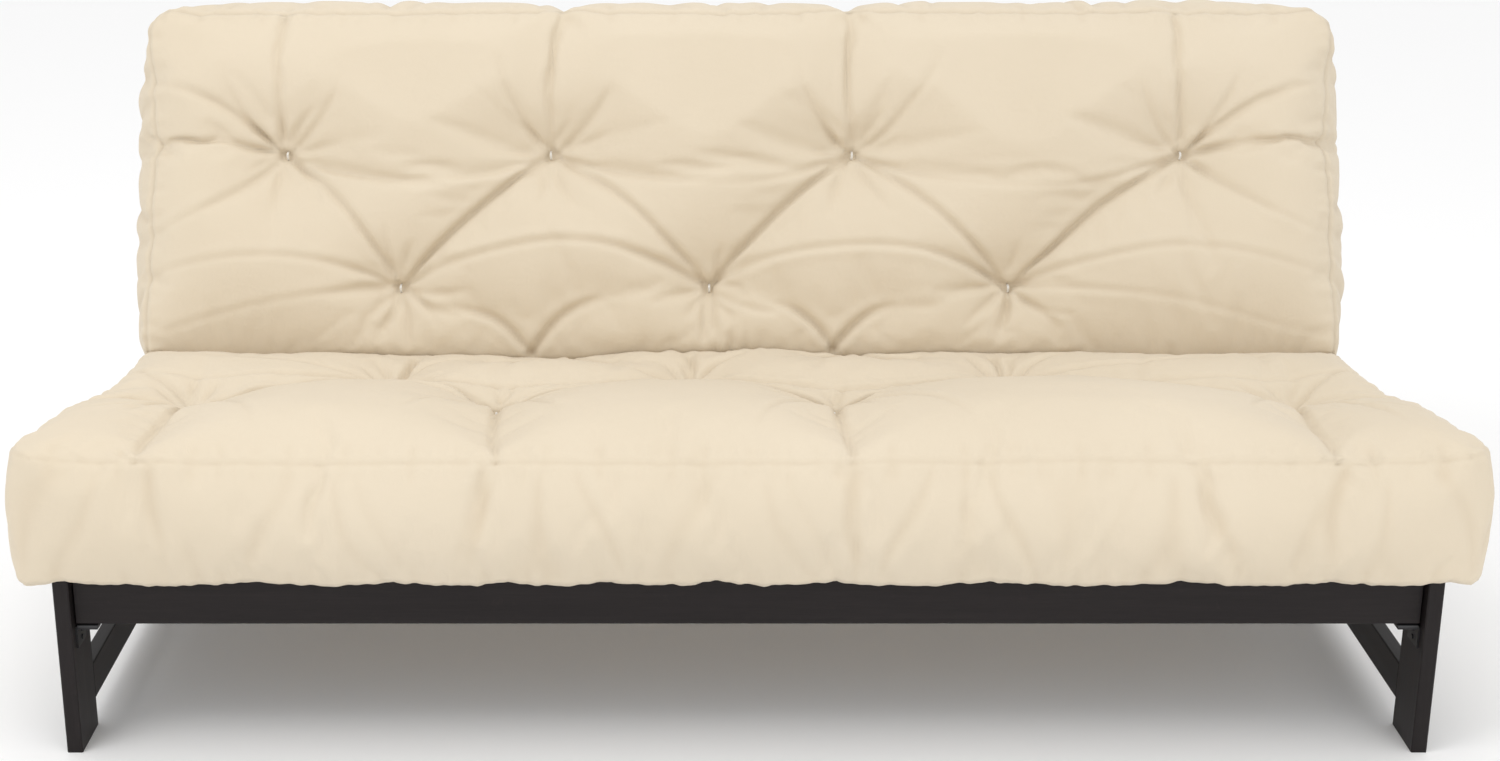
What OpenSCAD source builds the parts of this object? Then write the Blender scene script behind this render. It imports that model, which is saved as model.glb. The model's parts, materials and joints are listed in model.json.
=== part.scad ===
// Armless bifold futon sofa bed: a wooden base of two leg frames, a slatted seat deck that slides
// forward in it, a slatted back deck hinged to the seat's rear edge, and a tufted mattress.
// Left is -X and the front is -Y. Every piece is drawn as the sofa, with its back up.

/* [Base] */
// Width over the two leg frames
frame_w = 1834; // [1400:2:2200]
// Front to back, over the legs
base_d = 736; // [720:1:900]
// Height of the legs
base_h = 253; // [230:1:330]
// Thickness of every frame board
board_t = 21; // [18:1:28]
// Depth of a leg, front to back
leg_d = 86; // [70:1:95]
// Height of the low stretcher's underside above the floor
stretcher_z = 40; // [20:1:60]
// Height of the low stretcher
stretcher_h = 52; // [40:1:60]
// Height of the grooved track rail
track_h = 97; // [92:1:110]
// Width of the flat front cross rail
cross_rail_w = 70; // [60:1:90]
// Height of the rear cross rail
rear_rail_h = 85; // [60:1:95]
// Eased edge of a board
ease = 1.5; // [0.5:0.5:3]

/* [Seat deck] */
// Height of a deck, over rails and slats
deck_h = 76; // [70:1:90]
// How far the decks' top stands above the legs
deck_lift = 3; // [2:0.5:6]
// Height of the seat's front rail
front_rail_h = 73; // [60:1:76]
// How far the front rail sits behind the legs' front faces
front_rail_recess = 14; // [5:1:30]
// Gap between the front rail's ends and the legs
front_rail_gap = 3; // [2:0.5:6]
// Height of the cross rails under the slats
deck_rail_h = 44; // [35:1:50]
// Number of slats in each deck
slat_n = 12; // [8:1:14]
// Width of a slat
slat_w = 65; // [40:1:80]
// Thickness of a slat
slat_t = 14; // [10:1:18]

/* [Back deck] */
// Angle between the back and the horizontal, as the sofa
back_angle = 65; // [55:1:75]
// Length of the back deck from the hinge axis
back_len = 620; // [500:5:700]

/* [Hinge and track] */
// Gap between the decks' side rails and the track rails
side_gap = 9; // [8.5:0.1:14]
// Hinge axis below the decks' top
hinge_drop = 30; // [28:1:34]
// Hinge axis in front of the rear legs
hinge_inset = 25; // [20:1:40]
// How far the seat slides forward to make the bed
seat_travel = 200; // [160:5:220]
// Hinge axis to the guide pin on the tail of the back's hinge plate
tail_len = 56; // [48:1:58]
// Radius of the nylon rollers
roller_r = 9; // [7:0.5:10]
// Width of the nylon rollers
roller_w = 10; // [8:0.5:12]
// Radius of the hinge bolts and guide pins
pin_r = 4; // [3:0.5:5]
// Radial clearance of a roller or hinge plate on its pin
pin_play = 0.08; // [0.04:0.01:0.1]
// Depth of the grooves in the track rails
groove_depth = 10; // [9:0.5:12]
// Clearance of a roller in its groove, on each side
groove_play = 0.5; // [0.3:0.1:1]
// Thickness of the hinge plates
plate_t = 2.5; // [2:0.5:3]
// Width of the hinge plates
plate_w = 28; // [24:1:32]

/* [Mattress] */
// Thickness of the mattress
mattress_t = 190; // [150:5:220]
// Width of the mattress at the seat's front
mattress_w = 1920; // [1500:2:2300]
// Width of the mattress at the back
mattress_back_w = 1816; // [1400:2:2300]
// How far the mattress hangs over the legs' front faces
mattress_overhang = 30; // [0:1:60]
// How far the mattress stands past the back deck's top
mattress_crest = 30; // [0:1:60]
// Rounding of the mattress's corners
mattress_round = 45; // [20:1:60]
// Thickness of the fabric cover
cover_t = 3; // [2:0.5:5]
// Thickness of the foam core
foam_t = 80; // [50:5:120]
// Tufts in the seat's row of four, as shares of half the mattress's width
seat_row_of_4 = [-0.85, -0.38, 0.14, 0.84]; // [-0.9:0.01:0.9]
// Tufts in the seat's row of three
seat_row_of_3 = [-0.56, -0.085, 0.42]; // [-0.9:0.01:0.9]
// Tufts in the back's row of four
back_row_of_4 = [-0.76, -0.315, 0.185, 0.737]; // [-0.9:0.01:0.9]
// Tufts in the back's row of three
back_row_of_3 = [-0.565, -0.053, 0.445]; // [-0.9:0.01:0.9]
// Seat's rows of four and three, as shares of its length from the hinge axis
seat_rows = [0.57, 0.38]; // [0.35:0.01:0.85]
// Back's rows of four and three, as shares of its length from the hinge axis
back_rows = [0.64, 0.33]; // [0.3:0.01:0.85]

/* [Hidden] */

// Colours
espresso = [0.15, 0.13, 0.13];
slat_wood = [0.72, 0.58, 0.40];
zinc = [0.70, 0.71, 0.73];
black_steel = [0.12, 0.12, 0.13];
nylon = [0.90, 0.90, 0.87];
black_nylon = [0.11, 0.11, 0.12];
rubber = [0.10, 0.10, 0.10];
twill = [0.91, 0.85, 0.76];
foam = [0.95, 0.90, 0.62];
cotton = [0.96, 0.95, 0.92];
thread = [0.98, 0.97, 0.94];

SIDES = [-1, 1];
eps = 0.01;         // overshoot of a cut past its face
hole_play = 0.1;    // clearance of a screw, dowel or bolt in its hole
fn_round = 32;
$fn = fn_round;

// Base, measured from the front legs' front faces
leg_out = frame_w / 2;
leg_in = leg_out - board_t;
rear_leg_y = base_d - leg_d;
track_len = rear_leg_y - leg_d;
track_z = base_h - track_h;
rest_gap = 3;                   // from a deck's underside down to what carries it
deck_top = base_h + deck_lift;
deck_bottom = deck_top - deck_h;
cross_z = deck_bottom - rest_gap - board_t;
cross_y = leg_d + 14;
rear_cross_y = rear_leg_y + 40;
rear_cross_z = deck_bottom - rest_gap - rear_rail_h;
pad_clear = 0.2;                // glide and rest pads stop this far short of the decks

// Hinge axis and the guide pin's path. The guide pin sits on a tail that points away from the back
hinge_y = rear_leg_y - hinge_inset;
hinge_z = deck_top - hinge_drop;
bed_hinge_y = hinge_y - seat_travel;
function pin_path(t) = [
    hinge_y - seat_travel * t - tail_len * cos(back_angle * (1 - t)),
    hinge_z - tail_len * sin(back_angle * (1 - t))
];
groove_r = roller_r + groove_play;

// Decks
deck_out = leg_in - side_gap;                  // outer face of the seat's side rails
washer_t = 1;
washer_r = 9;
back_deck_out = deck_out + plate_t + washer_t; // outer face of the back's side rails
seat_end_gap = 30;                             // hinge axis to the end of the seat's side rails
back_end_gap = 40;                             // hinge axis to the end of the back's side rails
seat_front_y = front_rail_recess + board_t;
seat_end_y = hinge_y - seat_end_gap;
deck_len_seat = seat_end_y - seat_front_y;
slat_span = 2 * (deck_out - board_t) - 110;    // centres of the outermost slats
slat_pitch = (slat_span - slat_w) / (slat_n - 1);
end_rail_inset = 14;                           // last cross rail to the end of the side rails
seat_rail_ys = [
    seat_front_y,
    seat_front_y + (deck_len_seat - board_t) / 2,
    seat_end_y - board_t - end_rail_inset
];
back_rail_us = [back_end_gap + end_rail_inset, (back_end_gap + back_len - board_t) / 2, back_len - board_t];

// Fasteners
dowel_r = 5;
dowel_len = 40;
bolt_r = 3;
bolt_len = 64;
bolt_head_r = 7;
bolt_head_t = 3.5;
socket_r = 2.3;
socket_depth = 2;
barrel_r = 5;
barrel_len = 16;
barrel_inset = 34;
screw_r = 1.8;
screw_head_r = 3.6;
screw_head_t = 1.6;
slat_screw_len = 34;
rail_screw_len = 60;
rail_screw_r = 2.5;
rail_screw_head_r = 4.5;
plate_screw_len = 18;
plate_screw_pitch = 25;
hinge_head_t = 4.5;
hinge_head_r = 7;
retainer_t = 1.2;
retainer_r = 6.5;
tail_r = 9.5;           // rounded end of the tail on the back's hinge plate
roller_side_gap = 1;    // back's hinge plate to the roller

// Steel brackets under the seat's side rails
bracket_t = 3;
bracket_leg = 30;
bracket_len = 40;
bracket_y = 16;
pad_t = rest_gap - pad_clear;
bracket_z = deck_bottom - pad_clear - pad_t - bracket_t;
rest_pad_w = 40;
rest_pad_x = leg_in - 200;

// Mattress. Its two halves meet at a plane through the hinge axis that halves the fold
miter = tan(back_angle / 2);
fold_gap = 1;
seat_mattress_len = hinge_y + mattress_overhang;
back_mattress_len = back_len + mattress_crest;
core_gap = 0.2;
batting_t = (mattress_t - foam_t) / 2 - cover_t - 2 * core_gap;
tuft_r = 1.5;
tuft_head_r = 3;
tuft_head_t = 3;
tuft_inset = 0.3;           // from the mattress's underside up to a thread's lower end

// The model's middle, front to back, is at y = 0
back_rear_y = hinge_y + back_len * cos(back_angle) + (deck_h - hinge_drop) * sin(back_angle);
y_mid = (back_rear_y - mattress_overhang) / 2;

// ---------- placing ----------

module placed() translate([0, -y_mid, 0]) children();

// Turns a back deck drawn flat, with its hinge axis at y = 0 and z = 0, to the sofa's angle
module on_back() placed() translate([0, hinge_y, hinge_z]) rotate([back_angle, 0, 0]) children();

// Draws for x > 0 and mirrors it when side is -1
module sided(side) mirror([side < 0 ? 1 : 0, 0, 0]) children();

module both_sides() for (side = SIDES) sided(side) children();

// ---------- general shapes ----------

// A board of size [x, y, z] with its four long edges eased. along is 0, 1 or 2 for x, y or z
function eased(a, b) = [
    [ease, 0], [a - ease, 0], [a, ease], [a, b - ease],
    [a - ease, b], [ease, b], [0, b - ease], [0, ease]
];
module board(size, along) {
    if (along == 0) multmatrix([[0, 0, 1, 0], [1, 0, 0, 0], [0, 1, 0, 0]])
        linear_extrude(size.x) polygon(eased(size.y, size.z));
    if (along == 1) multmatrix([[0, 1, 0, 0], [0, 0, 1, 0], [1, 0, 0, 0]])
        linear_extrude(size.y) polygon(eased(size.z, size.x));
    if (along == 2) linear_extrude(size.z) polygon(eased(size.x, size.y));
}

// Cylinders along the three axes, starting at the given point
module rod_x(at, r, len) translate(at) rotate([0, 90, 0]) cylinder(r = r, h = len);
module rod_y(at, r, len) translate(at) rotate([-90, 0, 0]) cylinder(r = r, h = len);
module rod_z(at, r, len) translate(at) cylinder(r = r, h = len);

// A round-headed screw whose head stands on the plane x = 0 and whose shank runs along +X
module screw_x(r, len, head_r, head_t, play = 0) {
    rod_x([-eps, 0, 0], r + play, len + eps);
    rod_x([-head_t, 0, 0], head_r + play, head_t);
}

// A flat ring along X
module ring_x(x, r_out, r_in, t) translate([x, 0, 0]) rotate([0, 90, 0])
    difference() {
        cylinder(r = r_out, h = t);
        translate([0, 0, -eps]) cylinder(r = r_in, h = t + 2 * eps);
    }

// ---------- base ----------

// Dowels that join one board end to a leg: at is the joint plane's y, zs the heights
module end_dowels(y, zs, play = 0) for (z = zs)
    rod_y([(leg_in + leg_out) / 2, y - dowel_len / 2 - play, z], dowel_r + play, dowel_len + 2 * play);
stretcher_dowel_zs = [stretcher_z + stretcher_h / 4, stretcher_z + stretcher_h * 3 / 4];
track_dowel_zs = [track_z + 16, hinge_z - groove_r - dowel_r - 6];
module side_dowels(play = 0) for (y = [leg_d, rear_leg_y]) {
    end_dowels(y, stretcher_dowel_zs, play);
    end_dowels(y, track_dowel_zs, play);
}

// Bolts that hold the cross rails between the leg frames: [y, z] of each, on the outer face
cross_bolts = [
    [cross_y + cross_rail_w / 4, cross_z + board_t / 2],
    [cross_y + cross_rail_w * 3 / 4, cross_z + board_t / 2],
    [rear_cross_y + board_t / 2, rear_cross_z + rear_rail_h / 4],
    [rear_cross_y + board_t / 2, rear_cross_z + rear_rail_h * 3 / 4]
];
module cross_bolt(at, play = 0) translate([leg_out, at.x, at.y]) mirror([1, 0, 0])
    screw_x(bolt_r, bolt_len, bolt_head_r, bolt_head_t, play);
module cross_bolt_holes() for (at = cross_bolts) cross_bolt(at, hole_play);
module barrel(i, play = 0) {
    at = cross_bolts[i];
    x = leg_in - barrel_inset;
    if (i < 2) rod_z([x, at.x, at.y - barrel_len / 2 - play], barrel_r + play, barrel_len + 2 * play);
    else rod_y([x, at.x - barrel_len / 2 - play, at.y], barrel_r + play, barrel_len + 2 * play);
}
module barrel_nut(i) difference() {
    barrel(i);
    cross_bolt(cross_bolts[i]);
}

module front_leg(side) placed() color(espresso) sided(side) difference() {
    translate([leg_in, 0, 0]) board([board_t, leg_d, base_h], 2);
    side_dowels(hole_play);
    bracket_screw_set(hole_play);
}

module rear_leg(side) placed() color(espresso) sided(side) difference() {
    translate([leg_in, rear_leg_y, 0]) board([board_t, leg_d, base_h], 2);
    side_dowels(hole_play);
    cross_bolt_holes();
}

module low_stretcher(side) placed() color(espresso) sided(side) difference() {
    translate([leg_in, leg_d, stretcher_z]) board([board_t, track_len, stretcher_h], 1);
    side_dowels(hole_play);
}

// The groove that the hinge roller runs in, and the curved one that guides the tail's pin
module hinge_groove() translate([leg_in - eps, 0, 0]) {
    for (y = [bed_hinge_y, hinge_y]) rod_x([0, y, hinge_z], groove_r, groove_depth + eps);
    translate([0, bed_hinge_y, hinge_z - groove_r]) cube([groove_depth + eps, seat_travel, 2 * groove_r]);
}
path_steps = 24;
function path_side(t, s) =
    let (p = pin_path(t), q = pin_path(t + 0.001) - pin_path(t - 0.001))
    p + s * groove_r * [-q.y, q.x] / norm(q);
module guide_groove() translate([leg_in - eps, 0, 0]) {
    for (t = [0, 1]) rod_x([0, pin_path(t).x, pin_path(t).y], groove_r, groove_depth + eps);
    multmatrix([[0, 0, 1, 0], [1, 0, 0, 0], [0, 1, 0, 0]]) linear_extrude(groove_depth + eps)
        polygon(concat([for (i = [0:path_steps]) path_side(i / path_steps, 1)],
                       [for (i = [path_steps:-1:0]) path_side(i / path_steps, -1)]));
}
module track_rail(side) placed() color(espresso) sided(side) difference() {
    translate([leg_in, leg_d, track_z]) board([board_t, track_len, track_h], 1);
    hinge_groove();
    guide_groove();
    side_dowels(hole_play);
    cross_bolt_holes();
}

module cross_rail_cuts() both_sides() {
    cross_bolt_holes();
    for (i = [0:len(cross_bolts) - 1]) barrel(i, hole_play);
}
module front_cross_rail() placed() color(espresso) difference() {
    translate([-leg_in, cross_y, cross_z]) board([2 * leg_in, cross_rail_w, board_t], 0);
    cross_rail_cuts();
}
module rear_cross_rail() placed() color(espresso) difference() {
    translate([-leg_in, rear_cross_y, rear_cross_z]) board([2 * leg_in, board_t, rear_rail_h], 0);
    cross_rail_cuts();
}

module frame_dowels() placed() color(slat_wood) both_sides() side_dowels();

// Socket-head bolts, each screwed right through its barrel nut
module cross_rail_bolts() placed() color(black_steel) both_sides() for (at = cross_bolts)
    difference() {
        cross_bolt(at);
        translate([leg_out + bolt_head_t - socket_depth, at.x, at.y]) rotate([0, 90, 0])
            cylinder(r = socket_r, h = socket_depth + eps, $fn = 6);
    }
module barrel_nuts() placed() color(zinc) both_sides()
    for (i = [0:len(cross_bolts) - 1]) barrel_nut(i);

// ---------- glide brackets on the front legs ----------

bracket_screw_zs = [bracket_z - 7, bracket_z - 19];
module bracket_screw_set(play = 0) for (z = bracket_screw_zs)
    translate([leg_in - bracket_t, bracket_y + bracket_len / 2, z])
        screw_x(screw_r, plate_screw_len, screw_head_r, screw_head_t, play);
module glide_brackets() placed() color(black_steel) both_sides() difference() {
    union() {
        translate([leg_in - bracket_leg, bracket_y, bracket_z]) cube([bracket_leg, bracket_len, bracket_t]);
        translate([leg_in - bracket_t, bracket_y, bracket_z + bracket_t - bracket_leg])
            cube([bracket_t, bracket_len, bracket_leg]);
    }
    bracket_screw_set(hole_play);
}
module glide_pads() placed() color(black_nylon) both_sides()
    translate([leg_in - bracket_leg, bracket_y, bracket_z + bracket_t])
        cube([bracket_leg - bracket_t, bracket_len, pad_t]);
module bracket_screws() placed() color(black_steel) both_sides() bracket_screw_set();
module rest_pads() placed() color(rubber) both_sides()
    translate([rest_pad_x, rear_cross_y, rear_cross_z + rear_rail_h])
        cube([rest_pad_w, board_t, rest_gap - pad_clear]);

// ---------- decks ----------

// Centres of the slats
slat_xs = [for (i = [0:slat_n - 1]) (i - (slat_n - 1) / 2) * slat_pitch];
module slats(y0, y1) for (x = slat_xs)
    translate([x - slat_w / 2, y0, deck_top - slat_t]) board([slat_w, y1 - y0, slat_t], 1);
module slat_screw_set(ys, play = 0) for (x = slat_xs, y = ys)
    translate([x, y + board_t / 2, deck_top - screw_head_t]) rotate([0, 90, 0])
        screw_x(screw_r, slat_screw_len, screw_head_r, screw_head_t, play);

// A cross rail between the side rails whose outer faces are at x = out
module deck_rail(y, out, h = deck_rail_h) translate([-(out - board_t), y, deck_top - slat_t - h])
    board([2 * (out - board_t), board_t, h], 0);

// Screws through the side rails into the ends of the cross rails at ys
module rail_screw_set(ys, out, play = 0) for (y = ys, f = [1 / 4, 3 / 4])
    translate([out - rail_screw_head_r / 2, y + board_t / 2, deck_top - slat_t - deck_rail_h * f])
        mirror([1, 0, 0])
            screw_x(rail_screw_r, rail_screw_len, rail_screw_head_r, rail_screw_head_r / 2, play);

// Screws along a hinge plate. dir is -1 on the seat and 1 on the back
plate_first = back_end_gap + end_rail_inset + board_t / 2 + rail_screw_head_r + screw_head_r + 7;
module plate_screw_set(dir, x, play = 0) for (i = [0:2])
    translate([x, dir * (plate_first + i * plate_screw_pitch), 0]) mirror([1, 0, 0])
        screw_x(screw_r, plate_screw_len, screw_head_r, screw_head_t * 0.4, play);
plate_reach = plate_first + 2 * plate_screw_pitch + 12;
seat_plate_x = deck_out + plate_t;
back_plate_x = back_deck_out + plate_t;

// Seat deck
seat_inner_rails = [seat_rail_ys.y, seat_rail_ys.z];
module front_rail_dowel_set(play = 0) for (f = [1 / 3, 2 / 3])
    rod_y([deck_out - board_t / 2, seat_front_y - 14 - play, deck_bottom + deck_h * f],
          dowel_r - 1 + play, 44 + 2 * play);
module seat_front_rail() placed() color(espresso) difference() {
    translate([-(leg_in - front_rail_gap), front_rail_recess, deck_top - front_rail_h])
        board([2 * (leg_in - front_rail_gap), board_t, front_rail_h], 0);
    both_sides() front_rail_dowel_set(hole_play);
}
module seat_slat_ledger() placed() color(espresso) difference() {
    deck_rail(seat_rail_ys.x, deck_out);
    slat_screw_set([seat_rail_ys.x], hole_play);
}
module seat_mid_rail() placed() color(espresso) difference() {
    deck_rail(seat_rail_ys.y, deck_out);
    slat_screw_set([seat_rail_ys.y], hole_play);
    both_sides() rail_screw_set(seat_inner_rails, deck_out, hole_play);
}
module seat_rear_rail() placed() color(espresso) difference() {
    deck_rail(seat_rail_ys.z, deck_out);
    slat_screw_set([seat_rail_ys.z], hole_play);
    both_sides() rail_screw_set(seat_inner_rails, deck_out, hole_play);
}
module seat_side_rail(side) placed() color(espresso) sided(side) difference() {
    translate([deck_out - board_t, seat_front_y, deck_bottom]) board([board_t, deck_len_seat, deck_h], 1);
    front_rail_dowel_set(hole_play);
    rail_screw_set(seat_inner_rails, deck_out, hole_play);
    translate([0, hinge_y, hinge_z]) plate_screw_set(-1, seat_plate_x, hole_play);
}
module seat_slats() placed() color(slat_wood) difference() {
    slats(seat_front_y, seat_end_y);
    slat_screw_set(seat_rail_ys, hole_play);
}
module seat_slat_screws() placed() color(zinc) slat_screw_set(seat_rail_ys);
module seat_rail_screws() placed() color(zinc) both_sides() rail_screw_set(seat_inner_rails, deck_out);
module front_rail_dowels() placed() color(slat_wood) both_sides() front_rail_dowel_set();

// Hinge hardware on the seat, drawn about the hinge axis
module at_hinge() placed() translate([0, hinge_y, hinge_z]) children();
module plate_blank(x, reach, dir) translate([x - plate_t, 0, 0]) {
    translate([0, dir > 0 ? 0 : -reach, -plate_w / 2]) cube([plate_t, reach, plate_w]);
    rod_x([0, 0, 0], plate_w / 2, plate_t);
}
module seat_hinge_plates() at_hinge() color(zinc) both_sides() difference() {
    plate_blank(seat_plate_x, plate_reach, -1);
    rod_x([deck_out - eps, 0, 0], pin_r, plate_t + 2 * eps);
    plate_screw_set(-1, seat_plate_x, hole_play);
}
module seat_plate_screws() at_hinge() color(zinc) both_sides() plate_screw_set(-1, seat_plate_x);

// The bolt's head is inside the seat's plate, and its end carries the roller in the groove
roller_x = back_plate_x + roller_side_gap;
retainer_x = roller_x + roller_w + 0.2;
pin_end_x = retainer_x + retainer_t;
module hinge_bolts() at_hinge() color(zinc) both_sides() {
    rod_x([deck_out - eps, 0, 0], pin_r, pin_end_x - deck_out + eps);
    translate([deck_out - hinge_head_t, 0, 0]) rotate([0, 90, 0])
        cylinder(r = hinge_head_r, h = hinge_head_t, $fn = 6);
}
module hinge_washers() at_hinge() color(nylon) both_sides()
    ring_x(seat_plate_x, washer_r, pin_r + pin_play, washer_t);
module hinge_retainers() at_hinge() color(black_steel) both_sides()
    ring_x(retainer_x, retainer_r, pin_r, retainer_t);
module roller() color(nylon) ring_x(roller_x, roller_r, pin_r + pin_play, roller_w);
module hinge_roller(side) at_hinge() sided(side) roller();

// Back deck, drawn flat about the hinge axis: u runs from the axis to the back's top
module back_flat() translate([0, 0, -hinge_z]) children();
module back_rail(i) on_back() color(espresso) difference() {
    back_flat() deck_rail(back_rail_us[i], back_deck_out, i == 2 ? deck_h - slat_t : deck_rail_h);
    back_flat() slat_screw_set([back_rail_us[i]], hole_play);
    back_flat() both_sides() rail_screw_set([back_rail_us[i]], back_deck_out, hole_play);
}
module back_side_rail(side) on_back() color(espresso) sided(side) difference() {
    translate([back_deck_out - board_t, back_end_gap, hinge_drop - deck_h])
        board([board_t, back_len - back_end_gap, deck_h], 1);
    back_flat() rail_screw_set(back_rail_us, back_deck_out, hole_play);
    plate_screw_set(1, back_plate_x, hole_play);
}
module back_slats() on_back() color(slat_wood) back_flat() difference() {
    slats(back_end_gap, back_len);
    slat_screw_set(back_rail_us, hole_play);
}
module back_slat_screws() on_back() color(zinc) back_flat() slat_screw_set(back_rail_us);
module back_rail_screws() on_back() color(zinc) back_flat() both_sides()
    rail_screw_set(back_rail_us, back_deck_out);
module back_hinge_plates() on_back() color(zinc) both_sides() difference() {
    union() {
        plate_blank(back_plate_x, plate_reach, 1);
        translate([back_deck_out, -tail_len, -tail_r]) cube([plate_t, tail_len, 2 * tail_r]);
        rod_x([back_deck_out, -tail_len, 0], tail_r, plate_t);
    }
    rod_x([back_deck_out - eps, 0, 0], pin_r + pin_play, plate_t + 2 * eps);
    rod_x([back_deck_out - eps, -tail_len, 0], pin_r, plate_t + 2 * eps);
    plate_screw_set(1, back_plate_x, hole_play);
}
module back_plate_screws() on_back() color(zinc) both_sides() plate_screw_set(1, back_plate_x);
module on_tail() on_back() translate([0, -tail_len, 0]) children();
module guide_pins() on_tail() color(zinc) both_sides()
    rod_x([back_deck_out, 0, 0], pin_r, pin_end_x - back_deck_out);
module guide_retainers() on_tail() color(black_steel) both_sides()
    ring_x(retainer_x, retainer_r, pin_r, retainer_t);
module guide_roller(side) on_tail() sided(side) roller();

// ---------- mattress ----------

// A corner's rounding, as points on an arc about c
arc_steps = 6;
function arc(c, r, a0, a1) = [
    for (i = [0:arc_steps])
        let (a = a0 + (a1 - a0) * i / arc_steps) c + r * [cos(a), sin(a)]
];

// Section of one half: u from the hinge axis to the free edge, w up from the deck. It is set in by d
// all round, and runs between the heights w0 and w1
function half_section(len, d, w0, w1) =
    let (
        r = mattress_round - d,
        far = len - d,
        low = max(w0, d),
        high = min(w1, mattress_t - d),
        lean = fold_gap + d / cos(back_angle / 2)
    )
    concat(
        [[(hinge_drop + low) * miter + lean, low]],
        w0 <= d ? arc([far - r, d + r], r, -90, 0) : [[far, w0]],
        w1 >= mattress_t - d ? arc([far - r, mattress_t - d - r], r, 0, 90) : [[far, w1]],
        [[(hinge_drop + high) * miter + lean, high]]
    );

// Plan of one half: as wide as w_fold at the hinge axis and w_free at the free edge
function half_plan(len, w_fold, w_free, d) =
    let (r = mattress_round - d, x = w_free / 2 - d, far = len - d)
    concat(
        [[-w_fold / 2 + d, 0], [w_fold / 2 - d, 0]],
        arc([x - r, far - r], r, 0, 90),
        arc([r - x, far - r], r, 90, 180)
    );

// One half between the heights w0 and w1, set in by d
module half_block(len, w_fold, w_free, d, w0 = 0, w1 = mattress_t)
    translate([0, 0, hinge_drop]) intersection() {
        linear_extrude(3 * mattress_t, center = true) polygon(half_plan(len, w_fold, w_free, d));
        multmatrix([[0, 0, 1, 0], [1, 0, 0, 0], [0, 1, 0, 0]])
            linear_extrude(2 * max(w_fold, w_free), center = true)
                polygon(half_section(len, d, w0, w1));
    }
foam_low = (mattress_t - foam_t) / 2;
foam_high = foam_low + foam_t;

// Where the tufts' threads pass, across the mattress and from the hinge axis
function row_points(shares, u) = [for (share = shares) [share * mattress_back_w / 2, u]];
seat_tuft_points = concat(row_points(seat_row_of_4, seat_rows[0] * seat_mattress_len),
                          row_points(seat_row_of_3, seat_rows[1] * seat_mattress_len));
back_tuft_points = concat(row_points(back_row_of_4, back_rows[0] * back_mattress_len),
                          row_points(back_row_of_3, back_rows[1] * back_mattress_len));
module tuft_threads(points, play = 0) for (p = points)
    rod_z([p.x, p.y, hinge_drop + tuft_inset - play],
          tuft_r + play, mattress_t - tuft_inset + 2 * play);
module tuft_heads(points) for (p = points)
    rod_z([p.x, p.y, hinge_drop + mattress_t], tuft_head_r, tuft_head_t);

module half_cover(len, w_fold, w_free, points) difference() {
    half_block(len, w_fold, w_free, 0);
    half_block(len, w_fold, w_free, cover_t);
    tuft_threads(points, hole_play);
}
module half_foam(len, w_fold, w_free, points) difference() {
    half_block(len, w_fold, w_free, cover_t + core_gap, foam_low, foam_high);
    tuft_threads(points, hole_play);
}
module half_batting(len, w_fold, w_free, points) difference() {
    union() {
        half_block(len, w_fold, w_free, cover_t + core_gap, 0, foam_low - core_gap);
        half_block(len, w_fold, w_free, cover_t + core_gap, foam_high + core_gap, mattress_t);
    }
    tuft_threads(points, hole_play);
}

module half_tufts(points) {
    tuft_threads(points);
    tuft_heads(points);
}

// The seat half is the back half's shape, turned to face the front
module seat_half() at_hinge() mirror([0, 1, 0]) children();
module seat_mattress_cover() seat_half() color(twill)
    half_cover(seat_mattress_len, mattress_back_w, mattress_w, seat_tuft_points);
module seat_foam_core() seat_half() color(foam)
    half_foam(seat_mattress_len, mattress_back_w, mattress_w, seat_tuft_points);
module seat_cotton_batting() seat_half() color(cotton)
    half_batting(seat_mattress_len, mattress_back_w, mattress_w, seat_tuft_points);
module seat_tufts() seat_half() color(thread) half_tufts(seat_tuft_points);

module back_mattress_cover() on_back() color(twill)
    half_cover(back_mattress_len, mattress_back_w, mattress_back_w, back_tuft_points);
module back_foam_core() on_back() color(foam)
    half_foam(back_mattress_len, mattress_back_w, mattress_back_w, back_tuft_points);
module back_cotton_batting() on_back() color(cotton)
    half_batting(back_mattress_len, mattress_back_w, mattress_back_w, back_tuft_points);
module back_tufts() on_back() color(thread) half_tufts(back_tuft_points);

// ---------- the nodes ----------

front_leg(-1);  // front_leg_left
front_leg(1);  // front_leg_right
rear_leg(-1);  // rear_leg_left
rear_leg(1);  // rear_leg_right
low_stretcher(-1);  // low_stretcher_left
low_stretcher(1);  // low_stretcher_right
track_rail(-1);  // track_rail_left
track_rail(1);  // track_rail_right
front_cross_rail();
rear_cross_rail();
frame_dowels();
cross_rail_bolts();
barrel_nuts();
glide_brackets();
glide_pads();
bracket_screws();
rest_pads();
seat_front_rail();
seat_slat_ledger();
seat_mid_rail();
seat_rear_rail();
seat_side_rail(-1);  // seat_side_rail_left
seat_side_rail(1);  // seat_side_rail_right
seat_slats();
seat_slat_screws();
seat_rail_screws();
front_rail_dowels();
seat_hinge_plates();
seat_plate_screws();
hinge_bolts();
hinge_washers();
hinge_retainers();
hinge_roller(-1);  // hinge_roller_left
hinge_roller(1);  // hinge_roller_right
back_rail(2);  // back_top_rail
back_rail(1);  // back_mid_rail
back_rail(0);  // back_bottom_rail
back_side_rail(-1);  // back_side_rail_left
back_side_rail(1);  // back_side_rail_right
back_slats();
back_slat_screws();
back_rail_screws();
back_hinge_plates();
back_plate_screws();
guide_pins();
guide_retainers();
guide_roller(-1);  // guide_roller_left
guide_roller(1);  // guide_roller_right
seat_mattress_cover();
seat_foam_core();
seat_cotton_batting();
seat_tufts();
back_mattress_cover();
back_foam_core();
back_cotton_batting();
back_tufts();
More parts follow.
